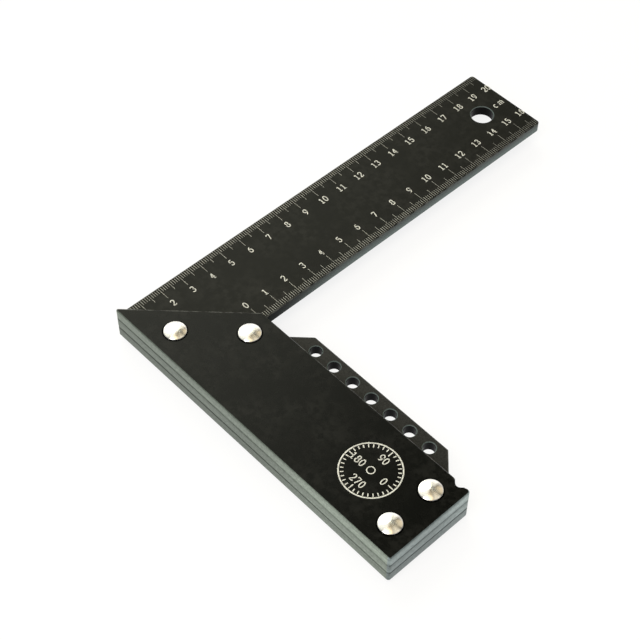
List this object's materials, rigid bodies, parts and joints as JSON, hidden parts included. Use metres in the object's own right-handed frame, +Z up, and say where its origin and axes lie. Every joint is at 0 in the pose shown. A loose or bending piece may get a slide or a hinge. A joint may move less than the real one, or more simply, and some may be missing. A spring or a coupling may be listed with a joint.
{
  "type": "carpenter square",
  "caption": "Woodworking square: black graduated blade, stock of riveted cheeks with a mitred joint line, flange with scribing holes, marking notch and hanging hole.",
  "frame": {"origin": "middle of the square's bounding rectangle, on the surface that it lies on", "axes": "+X along the stock away from the blade, +Y along the blade towards its tip, +Z up out of the front"},
  "size_m": [0.15, 0.2, 0.0178],
  "materials": {
    "anodised_plate": "satin black anodised, fine matt grain",
    "rivet_metal": "bright, turned in fine circles"
  },
  "bodies": {
    "root": {"body_plate": "anodised_plate", "front_cheek": "anodised_plate", "rear_cheek": "anodised_plate", "rivet_pin_1": "rivet_metal", "rivet_pin_2": "rivet_metal", "rivet_pin_3": "rivet_metal", "rivet_pin_4": "rivet_metal", "rivet_tube_1": "rivet_metal", "rivet_tube_2": "rivet_metal", "rivet_tube_3": "rivet_metal", "rivet_tube_4": "rivet_metal"}
  },
  "joints": []
}
